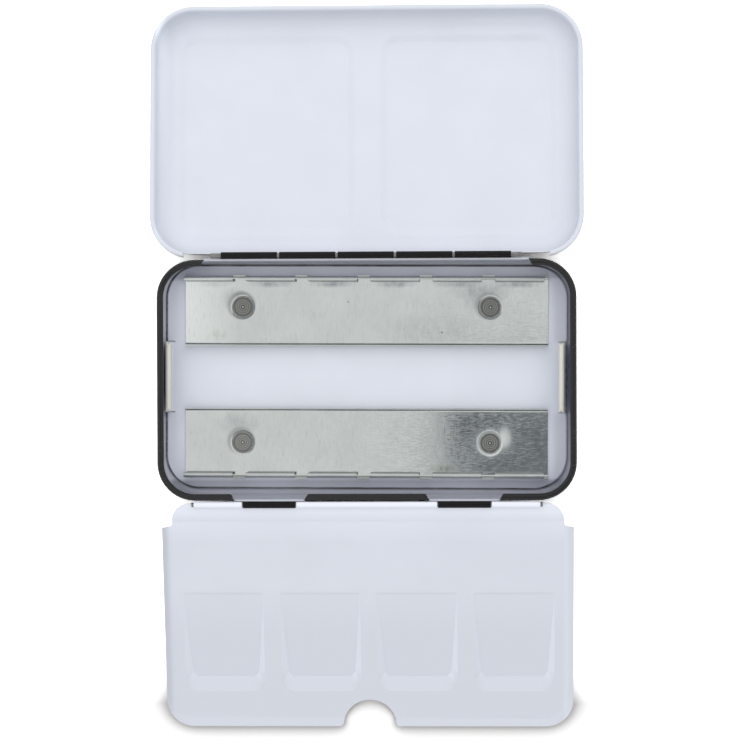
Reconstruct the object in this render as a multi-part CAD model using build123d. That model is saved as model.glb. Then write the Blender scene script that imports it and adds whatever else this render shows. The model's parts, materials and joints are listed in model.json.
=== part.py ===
from build123d import *
from math import acos, asin, atan, atan2, cos, degrees, hypot, radians, sin, sqrt, tan
import os

os.makedirs("parts", exist_ok=True)

# Pressed tin for twelve half pans, in millimetres. The origin is the centre of the base's underside,
# X runs along the hinges, Y points to the lid hinge and Z up. The tin is modelled open on a table:
# the lid lies back behind the base and the mixing palette in front of it, each on its far edge.

# Sheet and working clearances
sheet = 0.3
closing_gap = 0.2            # between closed leaves and what they lie on
hinge_gap = 0.2              # round a knuckle
knuckle_gap = 0.3            # between neighbouring knuckles of the front hinge
lid_knuckle_gap = 0.7        # the same on the lid's looser hinge

# Base tray
base_width = 120.0
base_depth = 68.9
base_height = 14.0
base_corner = 10.8
floor_bend = 2.2             # outer radius between floor and wall
rim_curl = 0.95              # outer radius of the edge that is curled inwards
rim_curl_angle = 270
curl_end_slope = 1.2         # extra length cut off the inner side of the curl at its ends

# Hinges
pin_diameter = 1.3
pin_clearance = 0.05
flange_bend = 0.45
lid_hinge_end = 2.7          # from the end of the straight rear wall to the end of its flange
lid_knuckle_end = 5.1        # from there to the first knuckle
lid_knuckles = 5
lid_pin_stub = 2.9
front_roll = 40.2            # length of the palette's middle knuckle
front_knuckle = 15.0         # length of each of the base's front knuckles
front_end_knuckle = 13.8     # length of each of the palette's end knuckles
front_window_margin = 2.6
palette_pin_stub = 0.7
base_roll_angle = 285

# Lid
lid_side_overhang = 1.15
lid_far_overhang = 1.35
lid_neck_offset = 0.1        # from its wall's inner face to the inner side of its knuckles
lid_corner_growth = 0.4      # corner radius beyond the base's
closed_height = 22.0
lid_draft = 0.4
lid_shoulder_bend = 4.4
lid_well_step = 0.7
lid_rim_flat = 0.9           # between the shoulder and a well's step
lid_well_corner = 5.5
lid_well_slope = 2.2         # plan length of the step
lid_well_bend = 2.4
lid_ridge = 7.0              # between the two wells
lid_hem = 0.75               # outer radius of the edge that is curled outwards
lid_hem_stop = 8.6           # where the hem ends on the hinge side, from the outer side wall
lid_roll_angle = 325

# Mixing palette
palette_free_margin = 3.4    # from its free edge to the rear wall when closed
palette_corner = 8.0
palette_hinge_corner = 5.5
palette_lip_height = 1.4
palette_lip_bend = 2.5
palette_lip_angle = 40
palette_lip_start = 7.0      # from the hinge axis
palette_lip_root = 1.0
ramp_start = 0.5
ramp_end = 5.6
ramp_bend = 1.6
hinge_edge = 0.2             # how far the sheet reaches past the axis
palette_roll_angle = 250
wells = 4
well_rear = 26.3             # from the hinge axis
well_front_margin = 10.3
well_side_margin = 2.7
well_spacing = 4.9
well_depth = 2.2
well_side_run = 2.05
well_front_run = 3.9
well_corner = 4.0
thumb_notch = 7.7
thumb_notch_round = 1.4

# Insert plate with its two ears
insert_side_play = 0.95      # beside the bend of the tray's floor, with the plate centred
insert_end_play = 1.3
insert_left_gap = 0.25       # the loose insert lies off centre, as it slides in use
insert_rear_gap = 0.6
insert_skew_angle = 0.35     # and slightly askew, clockwise seen from above
insert_corner_ease = 1.2     # how much tighter its corners are than the tray's
ear_length = 20.3
ear_inset = 1.1
ear_bend = 0.6
ear_drop = 3.0               # from the rim down to the ear's top
ear_curl = 0.82
ear_curl_angle = 260
ear_round = 1.5
ear_slit = 0.3

# Pan rails
rail_channel = 19.6          # clear width for pans of 19 mm
rail_side_margin = 3.23      # from the plate's long edge to the rail
rail_end_margin = 5.5
rail_flange = 3.4
rail_inner_bend = 1.1
rail_outer_bend = 0.7
clips = 6
clip_gap = 3.9
clip_end = 1.2               # plain wall at the right end
clip_slit = 0.15
clip_root = 1.9
clip_top = 3.6
clip_curl = 0.75
clip_curl_angle = 235
tab_lean = 0.35

# Rivets, each in a dimple through rail and plate
rivet_half_spacing = 36.1
rear_rivet_shift = 1.2
rivet_head = 5.7
rivet_head_height = 0.35
rivet_shank = 2.4
rivet_tail = 3.8
rivet_tail_height = 0.3
rivet_clearance = 0.05
dimple_top = 3.65
dimple_floor = 2.95
dimple_depth = 0.5
dimple_clearance = 0.05
turned_rings = (0.75, 1.35, 1.95, 2.45)
turned_depth = 0.04
centre_pip = 0.35
centre_pip_height = 0.06

# Places that follow from the sizes above
knuckle = pin_diameter / 2 + pin_clearance + sheet
hinge_offset = knuckle + closing_gap
hinge_y = base_depth / 2 + hinge_offset
hinge_z = base_height - knuckle
roll_floor = -knuckle + sheet / 2
straight_half = base_width / 2 - base_corner
flange_z = hinge_z + roll_floor
wall_top = flange_z - flange_bend - sheet
neck_reach = knuckle - lid_neck_offset
lid_hinge_overhang = hinge_offset + sheet - neck_reach
lid_width = base_width + 2 * lid_side_overhang
lid_depth = base_depth + lid_far_overhang + lid_hinge_overhang
lid_middle = (lid_hinge_overhang - lid_far_overhang) / 2
lid_rim = base_height + closing_gap
lid_corner = base_corner + lid_corner_growth
lid_shoulder_edge = lid_draft + lid_shoulder_bend + sheet
lid_well_margin = lid_shoulder_edge + lid_rim_flat
rail_floor_z = rivet_tail_height + 3 * sheet + dimple_depth
plate_z = rail_floor_z - sheet
rear_window = straight_half - lid_hinge_end
rear_hinge_half = rear_window - lid_knuckle_end
lid_knuckle = (2 * rear_hinge_half - (lid_knuckles - 1) * lid_knuckle_gap) / lid_knuckles
front_knuckle_start = front_roll / 2 + knuckle_gap
front_knuckle_end = front_knuckle_start + front_knuckle
palette_roll_end = front_knuckle_end + knuckle_gap + front_end_knuckle


def beside(points, bends, offset):
    """Corners and bends of the line that runs to the left of another, at the given distance."""
    corners = [Vector(*point) for point in points]
    runs = [(b - a).normalized() for a, b in zip(corners, corners[1:])]
    lefts = [Vector(-run.Y, run.X) for run in runs]
    moved = [corners[0] + lefts[0] * offset]
    radii = []
    for index, bend in enumerate(bends):
        before, after = lefts[index], lefts[index + 1]
        moved.append(corners[index + 1] + (before + after) * (offset / (1 + before.dot(after))))
        turns_left = runs[index].cross(runs[index + 1]).Z > 0
        radii.append(bend - offset if turns_left else bend + offset)
    moved.append(corners[-1] + lefts[-1] * offset)
    return moved, radii


def strip(points, bends=()):
    """Section of bent sheet: its middle line runs through the points and is rounded at the inner ones."""
    left, left_radii = beside(points, bends, sheet / 2)
    right, right_radii = beside(points, bends, -sheet / 2)
    if bends:
        sides = FilletPolyline(*left, radius=left_radii) + FilletPolyline(*right, radius=right_radii)
    else:
        sides = Line(*left) + Line(*right)
    return make_face(sides + Line(left[0], right[0]) + Line(left[-1], right[-1]))


def curl(centre, radius, start, turn):
    """Section of a curled sheet edge, from a start angle through a turn."""
    outside = CenterArc(centre, radius, start, turn)
    inside = CenterArc(centre, radius - sheet, start, turn)
    return make_face(outside + inside + Line(outside @ 0, inside @ 0) + Line(outside @ 1, inside @ 1))


def along_x(section, start, end):
    """Solid from a section drawn in Y and Z, between two places along X."""
    return extrude(Plane.YZ.offset(start) * section, amount=end - start)


def all_round(section, width, depth, corner):
    """Carries a section, drawn outwards from the outline and up, round a rounded rectangle."""
    section = Plane.XZ * section
    ring = Part()
    for turn, reach, run in ((0, width, depth), (90, depth, width), (180, width, depth), (270, depth, width)):
        side_end = run / 2 - corner
        side = extrude(Pos(reach / 2, -side_end, 0) * section, amount=2 * side_end, dir=(0, 1, 0))
        axis = Axis((reach / 2 - corner, side_end, 0), (0, 0, 1))
        bend = revolve(Pos(reach / 2, side_end, 0) * section, axis, 90)
        ring += Rot(0, 0, turn) * (side + bend)
    return ring


def panel(width, depth, corner, low, high):
    """Flat plate with rounded corners between two heights."""
    return Pos(0, 0, low) * extrude(RectangleRounded(width, depth, corner), amount=high - low)


def block(x_range, y_range, z_range):
    """Rectangular block between two limits each way."""
    low, high = zip(x_range, y_range, z_range)
    return Pos(*low) * Box(*(b - a for a, b in zip(low, high)), align=(Align.MIN,) * 3)


def cylinder_x(radius, start, end):
    """Cylinder along X round the line y = 0, z = 0."""
    return along_x(Circle(radius), start, end)


def both_sides(ranges):
    """The given ranges along X and their mirror images."""
    return ranges + [(-end, -start) for start, end in ranges]


def rest_tilt(contacts):
    """Angle below level at which an open leaf touches the table, from points out from and below the axis."""
    return min(degrees(asin(hinge_z / hypot(out, drop)) - atan2(drop, out)) for out, drop in contacts)


def rear_knuckles():
    """Ranges along X of the lid hinge's knuckles, from left to right."""
    starts = [-rear_hinge_half + i * (lid_knuckle + lid_knuckle_gap) for i in range(lid_knuckles)]
    return [(start, start + lid_knuckle) for start in starts]


def curl_window(start, end):
    """Block that opens the rear rim between two places along X, with slanted ends across the curl."""
    wall = base_depth / 2
    inner = wall - 2 * rim_curl - sheet
    outline = Polyline(
        (start, wall + sheet),
        (start, wall - sheet),
        (start - curl_end_slope, inner),
        (end + curl_end_slope, inner),
        (end, wall - sheet),
        (end, wall + sheet),
        close=True,
    )
    return Pos(0, 0, wall_top) * extrude(make_face(outline), amount=base_height)


def base_leaf(window, knuckles):
    """Flange of the rear wall in a window of the rim, with the knuckles that grow out of it."""
    wall = base_depth / 2 - sheet / 2
    flange = strip([(wall, wall_top), (wall, flange_z), (hinge_y, flange_z)], [flange_bend])
    roll = curl((hinge_y, hinge_z), knuckle, -90, base_roll_angle)
    relief = Pos(0, hinge_y, hinge_z) * cylinder_x(knuckle + hinge_gap, *window)
    leaf = along_x(flange, *window) - relief
    for start, end in knuckles:
        leaf += along_x(flange, start, end) + along_x(roll, start, end)
    return leaf


def base_tray():
    """Drawn tray with a curled rim, opened for the hinge leaves of its front and rear walls."""
    floor_edge = floor_bend + sheet
    middle = sheet / 2
    wall = strip(
        [(-floor_edge, middle), (-middle, middle), (-middle, wall_top)],
        [floor_bend - middle],
    )
    inset = (base_width - 2 * floor_edge, base_depth - 2 * floor_edge, base_corner - floor_edge)
    tray = panel(*inset, 0, sheet) + all_round(wall, base_width, base_depth, base_corner)

    curl_z = base_height - rim_curl
    upper_wall = Pos(-sheet / 2, (wall_top + curl_z) / 2) * Rectangle(sheet, curl_z - wall_top)
    rim_section = upper_wall + curl((-rim_curl, curl_z), rim_curl, 0, rim_curl_angle)
    rim = all_round(rim_section, base_width, base_depth, base_corner)

    window = (-rear_window, rear_window)
    rim -= curl_window(*window)
    tray += base_leaf(window, rear_knuckles()[::2])

    front = Part()
    for start, end in both_sides([(front_knuckle_start, front_knuckle_end)]):
        window = (start - front_window_margin, end + front_window_margin)
        rim -= mirror(curl_window(*window), Plane.XZ)
        front += base_leaf(window, [(start, end)])
    return tray + rim + mirror(front, Plane.XZ)


def hinge_pin(y, half_length):
    """Plain wire through one hinge."""
    return Pos(0, y, hinge_z) * cylinder_x(pin_diameter / 2, -half_length, half_length)


def lid_wells():
    """Width, depth and centre of the lid's right-hand well."""
    inner, outer = lid_ridge / 2, lid_width / 2 - lid_well_margin
    return outer - inner, lid_depth - 2 * lid_well_margin, (inner + outer) / 2


def lid_closed():
    """Lid as it lies shut: walls with an outward hem, a broad shoulder and two shallow raised panels."""
    crown = closed_height - sheet / 2
    shoulder = crown - lid_well_step
    hem_z = lid_rim + lid_hem
    wall = strip(
        [(-sheet / 2, hem_z), (-sheet / 2 - lid_draft, shoulder), (-lid_shoulder_edge, shoulder)],
        [min(lid_shoulder_bend, shoulder - hem_z - sheet)],
    )
    outline = (lid_width, lid_depth, lid_corner)
    shell = all_round(wall, *outline)

    across, along, centre_x = lid_wells()
    ledge = lid_rim_flat / 2
    step = strip(
        [
            (ledge, shoulder),
            (0, shoulder),
            (-lid_well_slope, crown),
            (-lid_well_slope - ledge, crown),
        ],
        [lid_well_bend, lid_well_bend],
    )
    grown = (across + 2 * ledge, along + 2 * ledge, lid_well_corner + ledge)
    inset = 2 * (lid_well_slope + ledge)
    shrunk = (across - inset, along - inset, lid_well_corner - inset / 2)
    top = panel(
        lid_width - 2 * lid_shoulder_edge,
        lid_depth - 2 * lid_shoulder_edge,
        lid_corner - lid_shoulder_edge,
        shoulder - sheet / 2,
        shoulder + sheet / 2,
    )
    for side in (-1, 1):
        place = Pos(side * centre_x, 0, 0)
        top -= place * panel(*grown, shoulder - sheet, shoulder + sheet)
        top += place * all_round(step, across, along, lid_well_corner)
        top += place * panel(*shrunk, crown - sheet / 2, crown + sheet / 2)

    hem = all_round(curl((lid_hem - sheet, hem_z), lid_hem, 180, 270), *outline)
    edge_section = Pos(-sheet / 2, (lid_rim + hem_z) / 2) * Rectangle(sheet, hem_z - lid_rim)
    plain_edge = all_round(edge_section, *outline)
    stop = lid_width / 2 - lid_hem_stop
    hinge_side = block((-stop, stop), (0, lid_depth), (0, closed_height))
    shell += (hem - hinge_side) + (plain_edge & hinge_side) + top

    shell = Pos(0, lid_middle, 0) * shell
    roll_start = 180 - degrees(acos(neck_reach / knuckle))
    roll_top = hinge_z + sqrt(knuckle**2 - neck_reach**2)
    neck_y = hinge_y - neck_reach + sheet / 2
    neck = Pos(neck_y, (roll_top + hem_z) / 2) * Rectangle(sheet, hem_z - roll_top)
    roll = curl((hinge_y, hinge_z), knuckle, roll_start, -lid_roll_angle)
    for start, end in rear_knuckles()[1::2]:
        shell += along_x(neck, start, end) + along_x(roll, start, end)
    return shell


def lid():
    """Lid swung right back, so that the far edge of its top lies on the table."""
    drop = closed_height - hinge_z
    far_edge = hinge_y - lid_middle + lid_depth / 2 - lid_well_margin - lid_well_slope
    opened = 180 + rest_tilt([(far_edge, drop)])
    return Pos(0, hinge_y, hinge_z) * Rot(-opened, 0, 0) * Pos(0, -hinge_y, -hinge_z) * lid_closed()


# The palette is drawn flat and open round its own hinge axis, with Y negative away from the hinge.
lip_rise = radians(palette_lip_angle)
lip_straight = (palette_lip_height - palette_lip_bend * (1 - cos(lip_rise))) / sin(lip_rise)
lip_run = (palette_lip_bend + sheet) * sin(lip_rise) + lip_straight * cos(lip_rise)
palette_half = base_width / 2 - rim_curl + sheet * sin(lip_rise)
palette_reach = hinge_y + base_depth / 2 - palette_free_margin
palette_flat = palette_half - lip_run
plate_face = -(base_height + closing_gap + palette_lip_height - hinge_z)
plate_middle = plate_face - sheet / 2
well_front = palette_reach - well_front_margin
well_pitch = (2 * (palette_flat - well_side_margin) + well_spacing) / wells
well_width = well_pitch - well_spacing
well_slope = well_depth / (well_front - well_front_run - well_rear)


def well_form(grow):
    """Space inside one mixing well, or its outside when grown by the sheet."""
    side = grow * hypot(1, well_side_run / well_depth)
    front = grow * hypot(1, well_front_run / well_depth)
    rear = well_rear - well_corner

    def outline(depth):
        half = well_width / 2 + side - depth / well_depth * well_side_run
        end = well_front + front - depth / well_depth * well_front_run
        shape = Pos(0, -(rear + end) / 2) * Rectangle(2 * half, end - rear)
        front_corners = shape.vertices().sort_by(Axis.Y)[:2]
        radius = well_corner + side - depth / well_depth * well_side_run
        return Pos(0, 0, plate_face - depth) * fillet(front_corners, radius)

    body = loft([outline(0), outline(well_depth + 2 * sheet)], ruled=True)
    if not grow:
        body += extrude(outline(0), amount=sheet)
    floor_start = plate_face - grow
    above_floor = Polyline(
        (-rear, floor_start + (well_rear - rear) * well_slope),
        (-palette_reach, floor_start - (palette_reach - well_rear) * well_slope),
        (-palette_reach, plate_face + well_depth),
        (-rear, plate_face + well_depth),
        close=True,
    )
    return body & along_x(make_face(above_floor), -well_width, well_width)


def thumb_cut():
    """Half-round notch in the palette's free edge, with rounded corners."""
    beyond = Pos(0, -palette_reach - thumb_notch) * Rectangle(4 * thumb_notch, 2 * thumb_notch)
    shape = Pos(0, -palette_reach) * Circle(thumb_notch) + beyond
    rounded = fillet(shape.vertices().sort_by_distance((0, -palette_reach))[:2], thumb_notch_round)
    return Pos(0, 0, plate_face - well_depth) * extrude(rounded, amount=2 * well_depth)


def palette_flat_open():
    """Palette opened level: knuckles, a ramp under the hinge, a plate with raised lips and four wells."""
    ramp = strip(
        [
            (hinge_edge, roll_floor),
            (-ramp_start, roll_floor),
            (-ramp_end, plate_middle),
            (-palette_lip_start, plate_middle),
        ],
        [ramp_bend / 2, ramp_bend],
    )
    ends = Pos(0, -palette_reach / 2) * Rectangle(2 * palette_flat, palette_reach + 2 * hinge_edge)
    rounded = fillet(ends.vertices().sort_by(Axis.Y)[-2:], palette_hinge_corner)
    outline = Pos(0, 0, 2 * plate_face) * extrude(rounded, amount=-3 * plate_face)
    leaf = along_x(ramp, -palette_flat, palette_flat) & outline

    flat = (2 * palette_flat, 2 * (palette_reach - lip_run), palette_corner - lip_run)
    field = block((-base_width, base_width), (-base_width, -palette_lip_start), (-base_height, base_height))
    leaf += panel(*flat, plate_face - sheet, plate_face) & field

    corner = (-lip_run, plate_face + palette_lip_bend)
    tip = palette_lip_angle - 90
    bend = curl(corner, palette_lip_bend + sheet, -90, palette_lip_angle)
    outer = Vector(*corner) + Vector(cos(radians(tip)), sin(radians(tip))) * (palette_lip_bend + sheet / 2)
    rise = outer + Vector(cos(lip_rise), sin(lip_rise)) * lip_straight
    lip_section = bend + strip([(outer.X, outer.Y), (rise.X, rise.Y)])
    lips = all_round(lip_section, 2 * palette_half, 2 * palette_reach, palette_corner)
    root_y = -palette_lip_start + palette_lip_root
    field = block((-base_width, base_width), (-base_width, root_y), (-base_height, base_height))
    gap = Pos(palette_flat + base_width / 2, -palette_lip_start + base_width / 2)
    cleared = gap * Rectangle(base_width, base_width)
    cleared = fillet(cleared.vertices().group_by(Axis.Y)[0].sort_by(Axis.X)[:1], palette_lip_root)
    side_cut = Pos(0, 0, -base_height) * extrude(cleared, amount=2 * base_height)
    leaf += (lips & field) - side_cut - mirror(side_cut, Plane.YZ)

    for start, end in both_sides([(front_knuckle_start - knuckle_gap, front_knuckle_end + knuckle_gap)]):
        leaf -= cylinder_x(knuckle + hinge_gap, start, end)
    roll = curl((0, 0), knuckle, -90, -palette_roll_angle)
    outer_roll = (front_knuckle_end + knuckle_gap, palette_roll_end)
    for start, end in [(-front_roll / 2, front_roll / 2)] + both_sides([outer_roll]):
        leaf += along_x(roll, start, end)

    pressed, hollow = well_form(sheet), well_form(0)
    for i in range(wells):
        place = Pos((i - (wells - 1) / 2) * well_pitch, 0, 0)
        leaf = leaf + place * pressed - place * hollow
    return leaf - thumb_cut()


def mixing_palette():
    """Palette folded down in front of the base, until it touches the table."""
    front_run = well_front_run / well_depth
    outside = well_front + sheet * hypot(1, front_run)
    heel = (outside - front_run * (sheet - well_rear * well_slope)) / (1 + front_run * well_slope)
    plate_drop = sheet - plate_face
    contacts = [(palette_reach - lip_run, plate_drop), (heel, plate_drop + (heel - well_rear) * well_slope)]
    return Pos(0, -hinge_y, hinge_z) * Rot(rest_tilt(contacts), 0, 0) * palette_flat_open()


# The insert is drawn round its own centre and then moved to where it lies in the tray.
above_plate = max(0, floor_bend - plate_z + sheet)
tray_inset = floor_bend - sqrt((floor_bend - sheet) ** 2 - above_plate**2)
plate_width = base_width - 2 * tray_inset - 2 * insert_side_play
plate_depth = base_depth - 2 * tray_inset - 2 * insert_end_play
insert_shift = (insert_left_gap - insert_side_play, insert_end_play - insert_rear_gap)
insert_place = Pos(*insert_shift, 0) * Rot(0, 0, -insert_skew_angle)
rail_width = rail_channel + 2 * sheet
rail_length = plate_width - 2 * rail_end_margin
rail_y = plate_depth / 2 - rail_side_margin - rail_width / 2


def rivet_places(side):
    """Centres of the two rivets of one rail; side is 1 at the rear and -1 at the front."""
    y = rail_y + rear_rivet_shift if side > 0 else -rail_y
    return [Pos(x, y, 0) for x in (-rivet_half_spacing, rivet_half_spacing)]


def dimple(surface, grow):
    """Cone that presses a dimple into a surface at the given height, grown sideways."""
    return Pos(0, 0, surface - dimple_depth / 2) * Cone(dimple_floor + grow, dimple_top + grow, dimple_depth)


def with_dimples(piece, surface, places, grow):
    """Sheet, whose upper face is at the given height, with a dimple and a rivet hole at each place."""
    slant = sheet * tan(atan(dimple_depth / (dimple_top - dimple_floor)) / 2)
    hole = Cylinder(rivet_shank / 2 + rivet_clearance, 2 * (dimple_depth + 2 * sheet))
    for place in places:
        piece += place * dimple(surface - sheet, grow + slant)
        piece -= place * dimple(surface, grow)
        piece -= place * Pos(0, 0, surface) * hole
    return piece


def ear():
    """Right-hand ear of the insert: bent up from the plate, with its top curled inwards."""
    face = plate_width / 2 - ear_inset
    wall = face - sheet / 2
    top = base_height - ear_drop
    curl_z = top - ear_curl
    foot_z = plate_z - sheet / 2
    bent = strip([(wall - 3 * ear_bend, foot_z), (wall, foot_z), (wall, curl_z)], [ear_bend])
    section = Plane.XZ * (bent + curl((face - ear_curl, curl_z), ear_curl, 0, ear_curl_angle))
    solid = Pos(0, ear_length / 2, 0) * extrude(section, amount=ear_length, dir=(0, -1, 0))
    profile = Pos(0, top / 2) * Rectangle(ear_length, top)
    profile = fillet(profile.vertices().sort_by(Axis.Y)[-2:], ear_round)
    return solid & along_x(profile, 0, face)


def insert_plate():
    """Loose plate that carries the pan rails, with an ear at each end to lift it by."""
    plate = panel(plate_width, plate_depth, base_corner - insert_corner_ease, plate_z - sheet, plate_z)
    right = ear()
    root = plate_width / 2 - ear_inset - sheet / 2 - 2 * ear_bend
    half = ear_length / 2 + ear_slit
    notch = block((root, plate_width), (-half, half), (0, plate_z))
    for flip in (False, True):
        plate -= mirror(notch, Plane.YZ) if flip else notch
        plate += mirror(right, Plane.YZ) if flip else right
    slant = sheet * tan(atan(dimple_depth / (dimple_top - dimple_floor)) / 2)
    places = rivet_places(1) + rivet_places(-1)
    return insert_place * with_dimples(plate, plate_z, places, slant + dimple_clearance)


def pan_rail():
    """Rail for six half pans, drawn at the rear with its row of spring clips on the outer side."""
    inner = rail_y - rail_width / 2 + sheet / 2
    outer = rail_y + rail_width / 2 - sheet / 2
    low = plate_z
    middle = low + sheet / 2
    channel = strip(
        [(inner, low + rail_flange), (inner, middle), (outer, middle), (outer, low + clip_root)],
        [rail_inner_bend, rail_outer_bend],
    )
    rail = along_x(channel, -rail_length / 2, rail_length / 2)

    curl_z = low + clip_top - clip_curl
    upright = Pos(outer, (low + clip_root + curl_z) / 2) * Rectangle(sheet, curl_z - low - clip_root)
    clip = upright + curl((outer + sheet / 2 - clip_curl, curl_z), clip_curl, 0, clip_curl_angle)
    tab = strip([(outer, low + clip_root), (outer + tab_lean, low + clip_top)])
    clip_length = (rail_length - clip_end - (clips - 1) * clip_gap) / clips
    for i in range(clips):
        start = -rail_length / 2 + i * (clip_length + clip_gap)
        end = start + clip_length
        rail += along_x(clip, start, end)
        gap_end = min(end + clip_gap - clip_slit, rail_length / 2)
        rail += along_x(tab, end + clip_slit, gap_end)
    return rail


def pan_rail_at(side):
    """Finished rail with its dimples; side is 1 at the rear and -1 at the front."""
    rail = pan_rail() if side > 0 else mirror(pan_rail(), Plane.XZ)
    return insert_place * with_dimples(rail, rail_floor_z, rivet_places(side), 0)


def rivet():
    """Flat-headed rivet, turned with shallow rings and a centre pip, standing on its upset tail."""
    head_floor = rail_floor_z - dimple_depth
    head = Pos(0, 0, head_floor) * Cylinder(
        rivet_head / 2, rivet_head_height, align=(Align.CENTER, Align.CENTER, Align.MIN)
    )
    face = head_floor + rivet_head_height
    for inner, outer in zip(turned_rings[::2], turned_rings[1::2]):
        groove = extrude(Circle(outer) - Circle(inner), amount=-turned_depth)
        head -= Pos(0, 0, face) * groove
    pip = Pos(0, 0, face) * Cylinder(
        centre_pip, centre_pip_height, align=(Align.CENTER, Align.CENTER, Align.MIN)
    )
    tail_top = sheet + rivet_tail_height
    tail = Pos(0, 0, sheet) * Cylinder(
        rivet_tail / 2, rivet_tail_height, align=(Align.CENTER, Align.CENTER, Align.MIN)
    )
    shank = Pos(0, 0, tail_top) * Cylinder(
        rivet_shank / 2, head_floor - tail_top, align=(Align.CENTER, Align.CENTER, Align.MIN)
    )
    return head + pip + shank + tail


def rivet_pair(side):
    """The two rivets of one rail, as separate solids."""
    placed = [insert_place * place * rivet() for place in rivet_places(side)]
    return Compound([solid for shape in placed for solid in shape.solids()])


pieces = {
    "base_tray": base_tray(),
    "lid": lid(),
    "mixing_palette": mixing_palette(),
    "lid_hinge_pin": hinge_pin(hinge_y, rear_hinge_half + lid_pin_stub),
    "palette_hinge_pin": hinge_pin(-hinge_y, palette_roll_end + palette_pin_stub),
    "insert_plate": insert_plate(),
    "pan_rail_rear": pan_rail_at(1),
    "pan_rail_front": pan_rail_at(-1),
    "rear_rail_rivets": rivet_pair(1),
    "front_rail_rivets": rivet_pair(-1),
}

for name, shape in pieces.items():
    export_step(shape, f"parts/{name}.step")
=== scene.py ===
import json
from math import hypot, pi, radians

import bpy
from mathutils import Matrix, Vector


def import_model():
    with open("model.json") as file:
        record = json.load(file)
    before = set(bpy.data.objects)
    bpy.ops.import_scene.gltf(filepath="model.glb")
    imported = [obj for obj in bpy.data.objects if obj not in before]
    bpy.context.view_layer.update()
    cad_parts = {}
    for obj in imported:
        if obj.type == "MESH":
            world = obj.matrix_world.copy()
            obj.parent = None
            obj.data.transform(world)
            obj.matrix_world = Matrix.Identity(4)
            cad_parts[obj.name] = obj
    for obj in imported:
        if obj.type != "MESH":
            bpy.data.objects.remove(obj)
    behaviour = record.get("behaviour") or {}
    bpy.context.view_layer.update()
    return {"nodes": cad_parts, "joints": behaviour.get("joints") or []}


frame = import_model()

# An open, empty watercolour tin seen from straight above, in the frame's own axes: X runs along the hinges,
# Y from the mixing palette to the lid, and Z up from the table. Sizes and places on the tin are in
# millimetres. Blender takes metres, so MM turns a size into metres where a call asks for them. A pair of
# places is where a mark starts and where it is full, or where it starts to fade and has faded in a FADE.
nodes = frame["nodes"]
lid_joint = next(joint for joint in frame["joints"] if joint["name"] == "lid_hinge")
MM = 0.001

# Camera: its place, how it leans about X, Y and its own axis in degrees, its shift and its lens
CAMERA_PLACE = (32.95, 6.08, 547.18)
CAMERA_LEAN = (-0.526, 1.411, -0.212)
CAMERA_SHIFT = -0.08
SENSOR_WIDTH = 36.0
FOCAL_LENGTH = 89.81

# Studio, in metres: the table's reach and how far it lies under the tin, the dark card's reach and height,
# and the lamp's place, target, side and watts
TABLE_REACH = (-3.0, 3.0)
TABLE_DROP = 0.00002
CARD_ACROSS = (0.008, 0.3)
CARD_ALONG = (-0.32, -0.003)
CARD_HEIGHT = 0.64
LAMP_PLACE = (0.0, 0.55, 0.9)
LAMP_TARGET = (0.0, 0.3, 0.0)
LAMP_SIDE = 2.0
LAMP_WATTS = 7.6
# Strength of the surroundings near the table and overhead
WORLD_LOW = 0.58
WORLD_HIGH = 0.80
# The tin's shadow on the table, in millimetres: how far it reaches, and how it fades along Y, because only
# the palette's front edge has one in the photograph
SHADOW_REACH = 12.0
SHADOW_FADE = (-95.0, -82.0)

# Colours as linear values
WHITE_ENAMEL = (0.715, 0.745, 0.825, 1.0)
BLACK_ENAMEL = (0.006, 0.006, 0.007, 1.0)
RUBBED_BLACK = (0.05, 0.048, 0.045, 1.0)
RUBBED_KNUCKLE = (0.03, 0.029, 0.028, 1.0)
CREAM = (0.74, 0.73, 0.66, 1.0)
TIN = (0.555, 0.582, 0.571, 1.0)
# Painted shade on the tin: shadows under the clips and dark reflections
TIN_PAINTED_SHADE = (0.24, 0.256, 0.28, 1.0)
TIN_STAIN = (0.376, 0.38, 0.32, 1.0)
SPECK = (0.08, 0.08, 0.072, 1.0)
RIVET_METAL = (0.20, 0.204, 0.192, 1.0)
WIRE = (0.24, 0.24, 0.232, 1.0)
# Painted shade for the gap round the insert plate, and for strips and the floor in the base
GAP_SHADE = (0.06, 0.06, 0.065, 1.0)
SHADED_WHITE = (0.16, 0.17, 0.23, 1.0)
CARD_GREY = (0.295, 0.318, 0.348, 1.0)
# The table as the camera sees it in the tin's shadow, in front of the tin and beside it, then as reflections
# see it and as other light does
TABLE_SHADOW = (0.60, 0.585, 0.575, 1.0)
TABLE_FRONT = (1.15, 1.15, 1.15, 1.0)
TABLE_BESIDE = (2.4, 2.4, 2.4, 1.0)
TABLE_GLOSSY = (1.3, 1.3, 1.3, 1.0)
TABLE_LIT = (0.8, 0.8, 0.8, 1.0)

# Outlines of the base and the shut lid: half width, half depth, corner radius and middle along Y
BASE_OUTLINE = (60.0, 34.45, 10.8, 0.0)
LID_OUTLINE = (61.15, 35.425, 11.2, -0.375)
# Half width, half depth, corner radius, middle and turn in degrees of the loose insert plate
INSERT_OUTLINE = (58.4, 32.5, 9.6, (-0.7, 0.7), -0.35)
SHEET = 0.3
RIM_FOOT = 12.05             # height under the base's curled rim
HEM_TOP = 15.72              # height over the lid's curled hem when shut
HINGE_Y, HINGE_Z = (value / MM for value in lid_joint["pos_m"][1:])  # the palette's axis has Y negative
LID_OPENED = radians(lid_joint["range_deg"][1])
KNUCKLE = 1.0
EDGE = 0.02                  # slack about an edge when faces are told apart
EAR_CURL_FOOT = 9.4          # height under the rolled tops of the insert's ears
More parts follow.
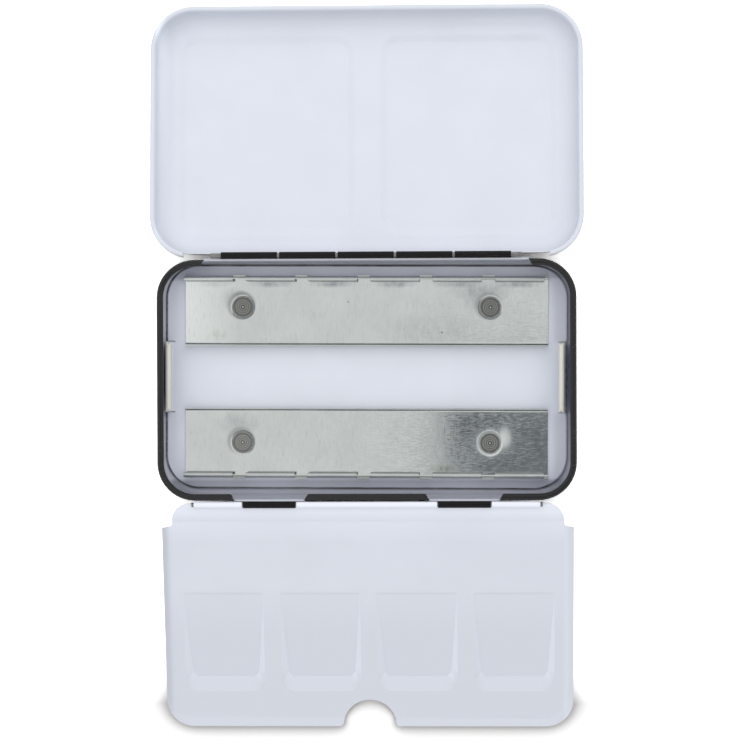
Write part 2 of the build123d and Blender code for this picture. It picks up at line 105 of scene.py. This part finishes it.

# Painted shade in the base: shade behind the ears along Y, strips of painted shade outside the rails with
# their side and amount, a band of painted shade and a lighter gap at the right along X, and the height under
# which the floor is marked
EAR_SHADE = (11.5, 9.5)
STRIP_INNER = (28.8, 29.8)
STRIP_FADE = (33.5, 34.5)
STRIP_AMOUNTS = ((1, 0.35), (-1, 0.55))
RIGHT_BAND = (53.0, 54.8)
GAP_LIGHTER = (52.0, 56.0)
FLOOR_TOP = (2.6, 2.0)
# Distances outside the insert's outline: inner and outer side of the gap with painted shade, and the floor
# past it
GAP_INNER = (-0.45, -0.25)
GAP_OUTER = (0.5, 0.1)
PAST_GAP = (-0.1, 0.2)

# Painted light on the lid's left wall: its place along X, from inside and from outside, and towards its far
# end along Y
LID_WALL_INNER = (-57.5, -60.0)
LID_WALL_OUTER = (-61.1, -60.3)
LID_FAR_END = (50.0, 85.0)

# The palette's four mixing wells: their rear edge along Y, their spacing, and where the painted light on
# their side walls starts and ends along Y and outwards
WELL_REAR = -61.95
WELL_PITCH = 28.11
WELL_SIDES_REAR = (-60.0, -62.0)
WELL_SIDES_FRONT = (-89.2, -84.8)
WELL_SIDES_OUTER = (55.5, 55.0)
# The painted shade line at the rear edge: how it fades to both sides, and where it starts in a well and at
# the ends
FOLD_FADE = (0.1, 0.5)
FOLD_IN_WELL = (2.0, 3.4)
FOLD_OUTER = (56.0, 54.5)
# Painted light and shade on the palette: where each tone starts and is full along Y or X, and how it scales
# the white
TONES_ALONG = ((-47.0, -40.0, 1.07), (-40.5, -38.0, 1.2), (-60.0, -74.0, 0.905))
TONES_ACROSS = ((-57.2, -58.5, 0.82), (56.0, 57.5, 0.99))

# Radii on a rivet: light pip, dark ring round it, dark rim and bare tin outside, and the rings' spacing
PIP = (0.32, 0.2)
PIP_RING = (0.66, 0.5)
RIVET_RIM = (2.3, 2.6)
RIVET_OUTSIDE = (2.8, 2.95)
TURNED_RING = 0.62
# Round a rivet on the rail: inner radius of a duller ring with a painted highlight, and a crescent of painted
# shade, whose circle is shifted to the upper left of the one that cuts it
DULL_SHEEN_RING = 3.2
CRESCENT_SHIFT = 0.5
CRESCENT_FADE = (3.5, 4.5)
CRESCENT_CUT_FADE = (3.3, 3.6)

# The painted shadows under the rear rail's clips: how many, the first one's middle and their spacing along X,
# their place along Y and its change for each millimetre along X, because the rail lies askew
CLIP_COUNT = 6
CLIP_FIRST = -46.5
CLIP_PITCH = 18.1
CLIP_PLACE = 27.7
CLIP_SKEW = -0.006
# Heights between which a rail's flat, glossy tin turns to the duller tin of its flange and clips
CLIP_FOOT = (2.2, 2.8)

# Where most values of a noise lie
NOISE_RANGE = (0.3, 0.7)


class Nodes:
    """Node tree with short calls to add nodes and feed their sockets."""

    def __init__(self, tree):
        self.tree = tree

    def feed(self, socket, value):
        """Sets a socket, or joins another node's output to it."""
        if isinstance(value, bpy.types.NodeSocket):
            self.tree.links.new(value, socket)
        else:
            socket.default_value = value

    def node(self, kind, inputs=(), **settings):
        """Adds a node with its settings, and feeds the sockets given by name or number."""
        made = self.tree.nodes.new("ShaderNode" + kind)
        for key, value in settings.items():
            setattr(made, key, value)
        for socket, value in dict(inputs).items():
            self.feed(made.inputs[socket], value)
        return made

    def math(self, operation, *values):
        """Result of one arithmetic step."""
        return self.node("Math", dict(enumerate(values)), operation=operation).outputs[0]

    def product(self, first, *others):
        """Several masks multiplied."""
        for other in others:
            first = self.math("MULTIPLY", first, other)
        return first

    def axes(self, vector):
        """A vector's X, Y and Z."""
        return self.node("SeparateXYZ", {0: vector}).outputs[:3]

    def remap(self, value, low, high, to_low, to_high):
        """Maps a value's range to another, and keeps it inside."""
        names = ("From Min", "From Max", "To Min", "To Max")
        inputs = {"Value": value, **dict(zip(names, (low, high, to_low, to_high)))}
        return self.node("MapRange", inputs).outputs[0]

    def ramp(self, value, start, full):
        """0 before the start and 1 past the other value, which may be the smaller one."""
        return self.remap(value, start, full, 0.0, 1.0)


class Shader(Nodes):
    """Node tree of one material, whose calls take places and sizes on the tin."""

    def __init__(self, name):
        self.material = bpy.data.materials.new(name)
        self.material.use_nodes = True
        super().__init__(self.material.node_tree)
        self.tree.nodes.clear()
        self.place = self.node("TexCoord").outputs["Object"]
        in_mm = {"Vector": self.place, "Scale": 1 / MM}
        self.place_mm = self.node("VectorMath", in_mm, operation="SCALE").outputs[0]

    def noise(self, size, detail=2.0, stretch=(1, 1, 1)):
        """Noise from 0 to 1 with features of about the given size, stretched along each axis."""
        mapped = self.node("Mapping", {"Vector": self.place, "Scale": [1 / s for s in stretch]}).outputs[0]
        inputs = {"Vector": mapped, "Scale": 1 / (size * MM), "Detail": detail}
        return self.node("TexNoise", inputs).outputs[0]

    def distance(self, point, shape=(1, 1)):
        """Distance along X and Y from a point, with each direction weighed."""
        scale = Vector((1 / shape[0], 1 / shape[1], 0))
        centre = Vector((point[0], point[1], 0)) * scale
        flat = self.node("VectorMath", {0: self.place_mm, 1: scale}, operation="MULTIPLY").outputs[0]
        return self.node("VectorMath", {0: flat, 1: centre}, operation="DISTANCE").outputs["Value"]

    def spot(self, point, inner, outer, shape=(1, 1)):
        """1 near a point, and 0 beyond the outer radius."""
        return self.ramp(self.distance(point, shape), outer, inner)

    def blend(self, factor, first, second):
        """Colour between two others."""
        return self.node("Mix", {0: factor, 6: first, 7: second}, data_type="RGBA").outputs[2]

    def bands(self, tint, value, bands):
        """Lays scaled white over the tint for each start, full place and scale."""
        for start, full, scale in bands:
            tint = self.blend(self.ramp(value, start, full), tint, shade(WHITE_ENAMEL, scale))
        return tint

    def bump(self, height, distance, normal):
        """Normal with bumps whose height, at 1, is the given distance in millimetres."""
        inputs = {"Strength": 1.0, "Distance": distance * MM, "Height": height, "Normal": normal}
        return self.node("Bump", inputs).outputs[0]

    def outside(self, half_width, half_depth, corner, centre, turn):
        """Distance outside a rounded rectangle that is turned by some degrees, or negative inside it."""
        turned = {"Vector": self.place_mm, "Location": (*centre, 0), "Rotation": (0, 0, radians(turn))}
        place = self.node("Mapping", turned, vector_type="TEXTURE").outputs[0]
        across, along = self.axes(place)[:2]
        across = self.math("SUBTRACT", self.math("ABSOLUTE", across), half_width - corner)
        along = self.math("SUBTRACT", self.math("ABSOLUTE", along), half_depth - corner)
        round_corner = {0: self.math("MAXIMUM", across, 0.0), 1: self.math("MAXIMUM", along, 0.0)}
        corner_way = self.node("CombineXYZ", round_corner).outputs[0]
        reach = self.node("VectorMath", {0: corner_way}, operation="LENGTH").outputs["Value"]
        within = self.math("MINIMUM", self.math("MAXIMUM", across, along), 0.0)
        return self.math("SUBTRACT", self.math("ADD", reach, within), corner)

    def crevice(self, reach, low, high):
        """1 in narrow gaps and corners that are closed in within the reach, and 0 in the open."""
        seen = self.node("AmbientOcclusion", {"Distance": reach * MM}, samples=8).outputs["AO"]
        return self.ramp(seen, high, low)

    def soft_edges(self, radius):
        """Normal with rounded edges."""
        return self.node("Bevel", {"Radius": radius * MM}, samples=6).outputs[0]

    def finish(self, shader, **inputs):
        """Ends the tree with a shader node."""
        surface = self.node(shader, {key.replace("_", " "): value for key, value in inputs.items()})
        self.node("OutputMaterial", {"Surface": surface.outputs[0]})
        return self.material


def shade(colour, factor):
    """Colour made lighter or darker."""
    return tuple(c * factor for c in colour[:3]) + (1.0,)


def enamel(name, colour, roughness, contrast=0.02, wear=None, marks=None, specular=0.5):
    """Gloss enamel, slightly uneven in colour, gloss and level, with worn specks, and marks of painted light
    and shade where given.
    """
    s = Shader(name)
    cloud = s.ramp(s.noise(14, 3.0), *NOISE_RANGE)
    tint = s.blend(cloud, shade(colour, 1 - contrast), shade(colour, 1 + contrast / 2))
    if wear:
        patch = s.ramp(s.noise(9), 0.52, 0.66)
        rubbed = s.remap(s.noise(0.5, 4.0, (3, 1, 1)), 0.56, 0.72, 0.0, 0.8)
        tint = s.blend(s.product(patch, rubbed), tint, wear)
    if marks:
        tint = marks(s, tint)
    gloss = s.remap(s.noise(5, 3.0), *NOISE_RANGE, roughness * 0.85, roughness * 1.2)
    level = s.bump(s.noise(2.4, 1.0), 0.012, s.soft_edges(0.12))
    return s.finish(
        "BsdfPrincipled", Base_Color=tint, Roughness=gloss, Normal=level, Specular_IOR_Level=specular
    )


def palette_painted_light(s, tint):
    """Painted light on the slope beside the hinge and on the wells' side walls, painted shade over the wells
    and at the lips, and a painted shade line at the wells' rear edge.
    """
    across, along = s.axes(s.place_mm)[:2]
    aside = s.math("ABSOLUTE", across)
    # Painted light on the slope beside the hinge, painted shade over the wells and at the lips
    tint = s.bands(tint, along, TONES_ALONG)
    tint = s.bands(tint, across, TONES_ACROSS)

    # Only the upper side has the painted shade line at the wells' rear edge and the painted light on their
    # side walls
    facing, _, rising = s.axes(s.node("TexCoord").outputs["Normal"])
    upper = s.ramp(rising, 0.0, 0.1)
    fold = s.remap(s.math("ABSOLUTE", s.math("SUBTRACT", along, WELL_REAR)), *FOLD_FADE, 0.4, 0.0)
    in_well = s.ramp(s.math("PINGPONG", across, WELL_PITCH / 2), *FOLD_IN_WELL)
    fold = s.product(fold, in_well, s.ramp(aside, *FOLD_OUTER), upper)
    tint = s.blend(fold, tint, shade(WHITE_ENAMEL, 0.8))
    by_wells = s.product(
        s.ramp(along, *WELL_SIDES_REAR),
        s.ramp(along, *WELL_SIDES_FRONT),
        s.ramp(aside, *WELL_SIDES_OUTER),
        upper,
    )
    for side, tone in ((1, 1.05), (-1, 1.13)):
        wall = s.product(by_wells, s.ramp(facing, 0.2 * side, 0.5 * side))
        tint = s.blend(wall, tint, shade(WHITE_ENAMEL, tone))
    return tint


def lid_painted_light(s, tint):
    """Painted light on the lid's left wall, more at its far end."""
    across, along = s.axes(s.place_mm)[:2]
    wall = s.product(s.ramp(across, *LID_WALL_INNER), s.ramp(across, *LID_WALL_OUTER))
    far_end = s.remap(along, *LID_FAR_END, 0.3, 1.0)
    return s.blend(s.product(wall, far_end), tint, shade(WHITE_ENAMEL, 1.2))


def tray_painted_shade(s, tint):
    """Painted shade in strips outside the two rails, in a band at the right, in the gap round the insert
    plate and on the floor past it.
    """
    across, along, height = s.axes(s.place_mm)
    by_ear = s.ramp(s.math("ABSOLUTE", along), *EAR_SHADE)
    # Painted shade in a band at the right, less beside the ears, and in strips outside the rails
    band = s.product(s.remap(across, *RIGHT_BAND, 0.0, 0.19), s.remap(by_ear, 0.0, 1.0, 1.0, 0.2))
    tint = s.blend(band, tint, SHADED_WHITE)
    for side, amount in STRIP_AMOUNTS:
        out = s.math("MULTIPLY", along, side)
        strip = s.product(s.remap(out, *STRIP_INNER, 0.0, amount), s.remap(out, *STRIP_FADE, 1.0, 0.3))
        tint = s.blend(strip, tint, SHADED_WHITE)

    # The painted shade in the gap round the plate is lighter at the right, and more painted shade lies on the
    # floor past it there and behind the ears
    beyond = s.outside(*INSERT_OUTLINE)
    low = s.ramp(height, *FLOOR_TOP)
    uneven = s.remap(s.noise(1.6, 3.0, (4, 1, 1)), *NOISE_RANGE, 0.7, 1.0)
    gap = s.product(s.ramp(beyond, *GAP_OUTER), s.ramp(beyond, *GAP_INNER), low, uneven)
    right = s.product(s.ramp(across, *GAP_LIGHTER), s.math("SUBTRACT", 1.0, by_ear))
    tint = s.blend(s.product(gap, s.remap(right, 0.0, 1.0, 1.0, 0.28)), tint, GAP_SHADE)
    past_gap = s.product(s.ramp(beyond, *PAST_GAP), low)
    shadow = s.math("MAXIMUM", s.math("MULTIPLY", right, 0.5), s.math("MULTIPLY", by_ear, 0.75))
    return s.blend(s.product(past_gap, shadow), tint, SHADED_WHITE)


def tinplate(name, rivets, shade_smudges, stains, specks, dull_and_sheen, rings):
    """Rolled tinplate: fine marks along Y, soft clouds and waves, painted shade and highlights, and marks of
    its own.

    Dark marks of painted shadows and dark reflections give a place, radius, shape and amount, stains a place,
    radius and shape, and specks a place and radius. Duller patches give a place, inner and outer radius,
    shape, roughness and the tone of their painted highlight, and rings the outer radius and painted
    highlight's tone of the duller ring round each rivet, and how dark its crescent of painted shade is.
    """
    s = Shader(name)
    grain = s.noise(0.36, 3.0, (1, 8, 1))
    mottle = s.ramp(s.noise(1.1, 4.0, (1, 2.2, 1)), 0.36, 0.64)
    cloud = s.ramp(s.noise(9, 4.0), *NOISE_RANGE)
    tint = s.blend(cloud, shade(TIN, 0.95), shade(TIN, 1.03))
    tint = s.blend(s.remap(mottle, 0.0, 1.0, 0.0, 0.12), tint, shade(TIN, 0.8))
    # Dark marks of painted shadows and dark reflections
    for point, size, shape, amount in shade_smudges:
        patchy = s.remap(mottle, 0.0, 1.0, 0.5 * amount, amount)
        tint = s.blend(s.product(s.spot(point, 0, size, shape), patchy), tint, TIN_PAINTED_SHADE)
    for point, size, shape in stains:
        patchy = s.remap(mottle, 0.2, 0.9, 0.0, 0.8)
        tint = s.blend(s.product(s.spot(point, size * 0.3, size, shape), patchy), tint, TIN_STAIN)
    for point, size in specks:
        tint = s.blend(s.spot(point, size * 0.5, size), tint, SPECK)

    scuffs = s.noise(0.3, 3.0, (5, 0.8, 1))
    gloss = s.math("ADD", s.remap(grain, *NOISE_RANGE, 0.05, 0.09), s.remap(scuffs, 0.35, 0.7, 0.0, 0.15))
    gloss = s.math("MAXIMUM", gloss, s.remap(s.axes(s.place_mm)[2], *CLIP_FOOT, 0.0, 0.38))

    # Each rivet stands in a duller ring with a painted highlight, and a crescent of painted shade at its
    # upper left
    for (x, y), (outer, gain, dark) in zip(rivets, rings):
        dull_and_sheen = dull_and_sheen + [((x, y), DULL_SHEEN_RING, outer, (1, 1), 0.6, gain)]
        shifted = s.spot((x - CRESCENT_SHIFT, y + CRESCENT_SHIFT), *CRESCENT_FADE)
        crescent = s.math("SUBTRACT", shifted, s.spot((x, y), *CRESCENT_CUT_FADE))
        crescent = s.product(s.math("MAXIMUM", crescent, 0.0), dark)
        tint = s.blend(crescent, tint, shade(TIN, 0.35))
    # Painted shade in narrow gaps and corners, from how closed in they are
    tint = s.blend(s.product(s.crevice(1.4, 0.2, 0.8), 0.5), tint, shade(TIN, 0.25))
    # Duller patches, lighter as a painted highlight
    for point, inner, outer, shape, rough, gain in dull_and_sheen:
        patch = s.spot(point, inner, outer, shape)
        gloss = s.math("MAXIMUM", gloss, s.product(s.math("POWER", patch, 2.0), rough))
        tint = s.blend(patch, tint, shade(TIN, gain))
    tint = s.blend(s.remap(grain, 0.45, 0.3, 0.0, 0.2), tint, shade(TIN, 0.6))

    ripples = s.noise(0.34, 3.0, (5, 1, 1))
    normal = s.bump(s.noise(14), 0.035, s.soft_edges(0.08))
    normal = s.bump(ripples, 0.002, normal)
    normal = s.bump(grain, 0.003, normal)
    return s.finish("BsdfPrincipled", Base_Color=tint, Metallic=1.0, Roughness=gloss, Normal=normal)


def turned_metal(name, centres, metal):
    """Rivet metal with fine turned rings round each centre and a light pip in a dark ring."""
    s = Shader(name)
    reach = s.distance(centres[0])
    for centre in centres[1:]:
        reach = s.math("MINIMUM", reach, s.distance(centre))
    wave = s.math("SINE", s.math("MULTIPLY", reach, 2 * pi / TURNED_RING))
    grit = s.noise(0.3, 3.0)
    uneven = s.math("ADD", s.math("MULTIPLY", wave, 0.42), grit)
    tint = s.blend(s.ramp(uneven, 0.2, 0.9), shade(metal, 0.68), shade(metal, 1.4))
    tint = s.blend(s.remap(reach, *RIVET_RIM, 0.0, 0.7), tint, shade(metal, 0.45))
    tint = s.blend(s.ramp(reach, *RIVET_OUTSIDE), tint, shade(TIN, 0.95))
    tint = s.blend(s.ramp(reach, *PIP_RING), tint, shade(metal, 0.3))
    tint = s.blend(s.ramp(reach, *PIP), tint, shade(metal, 2.6))
    gloss = s.remap(grit, *NOISE_RANGE, 0.28, 0.42)
    normal = s.bump(wave, 0.004, s.soft_edges(0.08))
    return s.finish("BsdfPrincipled", Base_Color=tint, Metallic=1.0, Roughness=gloss, Normal=normal)


def drawn_wire():
    """Dull drawn wire with marks along its length."""
    s = Shader("drawn_wire")
    marks = s.noise(0.12, 3.0, (20, 1, 1))
    cloud = s.ramp(s.noise(2, 3.0), *NOISE_RANGE)
    tint = s.blend(cloud, shade(WIRE, 0.8), shade(WIRE, 1.15))
    gloss = s.remap(marks, *NOISE_RANGE, 0.3, 0.45)
    normal = s.bump(marks, 0.003, s.soft_edges(0.08))
    return s.finish("BsdfPrincipled", Base_Color=tint, Metallic=1.0, Roughness=gloss, Normal=normal)


def outline_place(x, y, outline):
    """Distance outside a rounded rectangle, and the direction straight out of it, for a point."""
    half_width, half_depth, corner, middle = outline
    across, along = abs(x) - half_width + corner, abs(y - middle) - half_depth + corner
    if across > 0 and along > 0:
        reach = hypot(across, along)
        out = Vector((across / reach, along / reach))
    else:
        reach = max(across, along)
        out = Vector((1, 0)) if across > along else Vector((0, 1))
    return reach - corner, Vector((out.x if x > 0 else -out.x, out.y if y > middle else -out.y))


def near_axis(place, y):
    """Whether a point belongs to the knuckles round a hinge axis."""
    return hypot(place.y - y, place.z - HINGE_Z) < KNUCKLE + 2 * EDGE


def tray_side(centre, normal):
    """0 for the base's white inside, 1 for its black outside and rim, and 2 for its knuckles."""
    place = centre / MM
    beyond, out = outline_place(place.x, place.y, BASE_OUTLINE)
    if near_axis(place, HINGE_Y) or near_axis(place, -HINGE_Y):
        return 2
    if place.z > HINGE_Z:
        return 1
    if place.z > RIM_FOOT and beyond < -SHEET - EDGE:
        return 1
    return 1 if normal.xy.dot(out) - normal.z > 0 else 0


def lid_side(centre, normal):
    """0 for the lid's white inside and hem, 1 for its black outside, and 2 for its knuckles."""
    axis = Vector((0, HINGE_Y, HINGE_Z))
    shut = Matrix.Rotation(LID_OPENED, 3, "X")
    place = axis + shut @ (centre / MM - axis)
    facing = shut @ normal
    beyond, out = outline_place(place.x, place.y, LID_OUTLINE)
    if near_axis(place, HINGE_Y):
        return 2
    if place.z < HEM_TOP and beyond > EDGE:
        return 0
    return 1 if facing.xy.dot(out) + facing.z > 0 else 0


def ear_side(centre, normal):
    """1 for the rolled tops of the insert's ears."""
    return 1 if centre.z > EAR_CURL_FOOT * MM else 0


def set_materials(node, materials, choose=None):
    """Gives a CAD node its materials; choose says which one a face takes, from its middle and normal."""
    mesh = nodes[node].data
    mesh.materials.clear()
    for material in materials:
        mesh.materials.append(material)
    for face in mesh.polygons:
        face.material_index = choose(face.center, face.normal) if choose else 0


def rivet_centres(node):
    """Middles of a node's two rivets."""
    places = [vertex.co / MM for vertex in nodes[node].data.vertices]
    split = sum(place.x for place in places) / len(places)
    centres = []
    for group in ([p for p in places if p.x < split], [p for p in places if p.x >= split]):
        xs, ys = [p.x for p in group], [p.y for p in group]
        centres.append(((min(xs) + max(xs)) / 2, (min(ys) + max(ys)) / 2))
    return centres


def dress_trays():
    """White and black enamel on the base, lid, palette and insert plate."""
    tray_white = enamel("tray_white_enamel", WHITE_ENAMEL, 0.22, marks=tray_painted_shade)
    white = enamel("white_enamel", WHITE_ENAMEL, 0.22, marks=lid_painted_light)
    palette_white = enamel("palette_enamel", shade(WHITE_ENAMEL, 0.965), 0.22, marks=palette_painted_light)
    black = enamel("black_enamel", BLACK_ENAMEL, 0.2, 0.3, RUBBED_BLACK, specular=0.4)
    knuckle_black = enamel("knuckle_enamel", BLACK_ENAMEL, 0.28, 0.3, RUBBED_KNUCKLE, specular=0.16)
    set_materials("base_tray", [tray_white, black, knuckle_black], tray_side)
    set_materials("lid", [white, black, knuckle_black], lid_side)
    set_materials("mixing_palette", [palette_white])
    set_materials("insert_plate", [tray_white, enamel("ear_roll", CREAM, 0.35, 0.06)], ear_side)


def dress_rear_rail():
    """Tinplate and rivets of the rear rail, with a painted shadow under each clip."""
    rivets = rivet_centres("rear_rail_rivets")
    clips = [CLIP_FIRST + CLIP_PITCH * i for i in range(CLIP_COUNT)]
    # A painted shadow under each clip
    clip_shadows = [((x, CLIP_PLACE + CLIP_SKEW * x), 3.4, (2.1, 0.34), 0.95) for x in clips]
    tin = tinplate(
        "tinplate_rear",
        rivets,
        # Painted shadows and dark reflections
        shade_smudges=[
            ((-39.5, 23.6), 4.6, (1.0, 0.8), 0.75),
            ((33.0, 25.8), 6.5, (1.6, 0.55), 0.65),
            ((30.5, 23.0), 4.0, (0.8, 1.0), 0.5),
            ((18.0, 14.0), 12.0, (1.6, 0.5), 0.25),
        ] + clip_shadows,
        stains=[((-45.0, 13.0), 4.0, (1.0, 0.6))],
        specks=[((-5.9, 22.6), 0.25), ((21.4, 13.6), 0.3)],
        # A duller patch with a painted highlight
        dull_and_sheen=[((-52.5, 21.0), 1.0, 15.0, (1, 3), 0.1, 1.25)],
        # Each rivet's ring: outer radius, tone of its painted highlight, and how dark its painted shade
        # crescent is
        rings=[(3.8, 1.15, 0.8), (3.8, 1.15, 0.5)],
    )
    set_materials("pan_rail_rear", [tin])
    set_materials("rear_rail_rivets", [turned_metal("rivet_metal_rear", rivets, RIVET_METAL)])


def dress_front_rail():
    """Tinplate and rivets of the front rail, with the same kinds of painted shade, painted highlights and
    marks.
    """
    rivets = rivet_centres("front_rail_rivets")
    tin = tinplate(
        "tinplate_front",
        rivets,
        # Painted dark reflections and shade
        shade_smudges=[
            ((-38.5, -12.5), 5.5, (1.4, 0.7), 0.5),
            ((33.0, -13.0), 6.0, (1.5, 0.7), 0.35),
            ((27.5, -14.5), 6.5, (0.9, 1.4), 0.6),
            ((49.5, -18.0), 4.0, (0.6, 1.6), 0.3),
        ],
        stains=[((22.0, -26.0), 3.6, (1.2, 0.35))],
        specks=[],
        # A duller patch with a painted highlight
        dull_and_sheen=[((39.6, -17.2), 0.0, 5.6, (0.82, 1.3), 0.6, 1.25)],
        # Each rivet's ring: outer radius, tone of its painted highlight, and how dark its painted shade
        # crescent is
        rings=[(3.8, 1.15, 0.5), (5.0, 1.42, 0.0)],
    )
    set_materials("pan_rail_front", [tin])
    set_materials("front_rail_rivets", [turned_metal("rivet_metal_front", rivets, shade(RIVET_METAL, 1.2))])


def dress_pins():
    """Wire of both hinge pins."""
    wire = drawn_wire()
    set_materials("lid_hinge_pin", [wire])
    set_materials("palette_hinge_pin", [wire])


def flat_mesh(name, x_range, y_range, height):
    """Level rectangle of the studio, in metres."""
    (left, right), (front, back) = x_range, y_range
    corners = [(left, front, height), (right, front, height), (right, back, height), (left, back, height)]
    mesh = bpy.data.meshes.new(name)
    mesh.from_pydata(corners, [], [(0, 1, 2, 3)])
    made = bpy.data.objects.new(name, mesh)
    bpy.context.scene.collection.objects.link(made)
    return made


def floor():
    """White table that the camera sees as pure white where it's lit, with the tin's soft shadow in front."""
    table = flat_mesh("floor", TABLE_REACH, TABLE_REACH, -TABLE_DROP)
    s = Shader("floor")
    rays = s.node("LightPath").outputs
    sky = s.node("AmbientOcclusion", {"Distance": SHADOW_REACH * MM}, samples=16).outputs["AO"]
    lit = s.math("POWER", s.ramp(sky, 0.55, 1.0), 3.0)
    shown = s.blend(lit, TABLE_SHADOW, TABLE_FRONT)
    along = s.axes(s.place_mm)[1]
    shown = s.blend(s.ramp(along, *SHADOW_FADE), shown, TABLE_BESIDE)
    unseen = s.blend(rays["Is Glossy Ray"], TABLE_LIT, TABLE_GLOSSY)
    colour = s.blend(rays["Is Camera Ray"], unseen, shown)
    table.data.materials.append(s.finish("BsdfDiffuse", Color=colour))


def dark_card():
    """Dark shape by the camera, which only the tin's reflections show."""
    card = flat_mesh("dark_card", CARD_ACROSS, CARD_ALONG, CARD_HEIGHT)
    card.visible_camera = False
    card.visible_diffuse = False
    card.visible_shadow = False
    card.visible_transmission = False
    s = Shader("dark_card")
    card.data.materials.append(s.finish("BsdfDiffuse", Color=CARD_GREY))


def lamp():
    """Square soft box that no reflection shows, with the top of its view towards +Y."""
    data = bpy.data.lights.new("soft_box", "AREA")
    data.size = LAMP_SIDE
    data.energy = LAMP_WATTS
    light = bpy.data.objects.new("soft_box", data)
    light.visible_glossy = False
    bpy.context.scene.collection.objects.link(light)
    back = (Vector(LAMP_PLACE) - Vector(LAMP_TARGET)).normalized()
    side = Vector((0, 1, 0)).cross(back).normalized()
    turned = Matrix((side, back.cross(side), back)).transposed().to_4x4()
    light.matrix_world = Matrix.Translation(LAMP_PLACE) @ turned


def world():
    """Pale surroundings, brighter overhead, which the camera sees as white, and so do reflections."""
    made = bpy.data.worlds.new("studio")
    made.use_nodes = True
    bpy.context.scene.world = made
    w = Nodes(made.node_tree)
    height = w.axes(w.node("TexCoord").outputs["Generated"])[2]
    pale = w.remap(height, 0.0, 1.0, WORLD_LOW, WORLD_HIGH)
    rays = w.node("LightPath").outputs
    seen = w.math("MAXIMUM", rays["Is Camera Ray"], rays["Is Glossy Ray"])
    background = w.tree.nodes["Background"].inputs
    w.feed(background["Color"], (1.0, 1.0, 1.0, 1.0))
    w.feed(background["Strength"], w.node("Mix", {0: seen, 2: pale, 3: 1.0}).outputs[0])


def camera():
    """Camera at the photograph's angle."""
    data = bpy.data.cameras.new("camera")
    data.sensor_width = SENSOR_WIDTH
    data.lens = FOCAL_LENGTH
    data.shift_x = CAMERA_SHIFT
    made = bpy.data.objects.new("camera", data)
    bpy.context.scene.collection.objects.link(made)
    over, aside, roll = (radians(angle) for angle in CAMERA_LEAN)
    turned = Matrix.Rotation(aside, 4, "Y") @ Matrix.Rotation(over, 4, "X") @ Matrix.Rotation(roll, 4, "Z")
    made.matrix_world = Matrix.Translation(Vector(CAMERA_PLACE) * MM) @ turned
    bpy.context.scene.camera = made


dress_trays()
dress_rear_rail()
dress_front_rail()
dress_pins()
floor()
dark_card()
lamp()
world()
camera()
bpy.context.scene.view_settings.view_transform = "Standard"
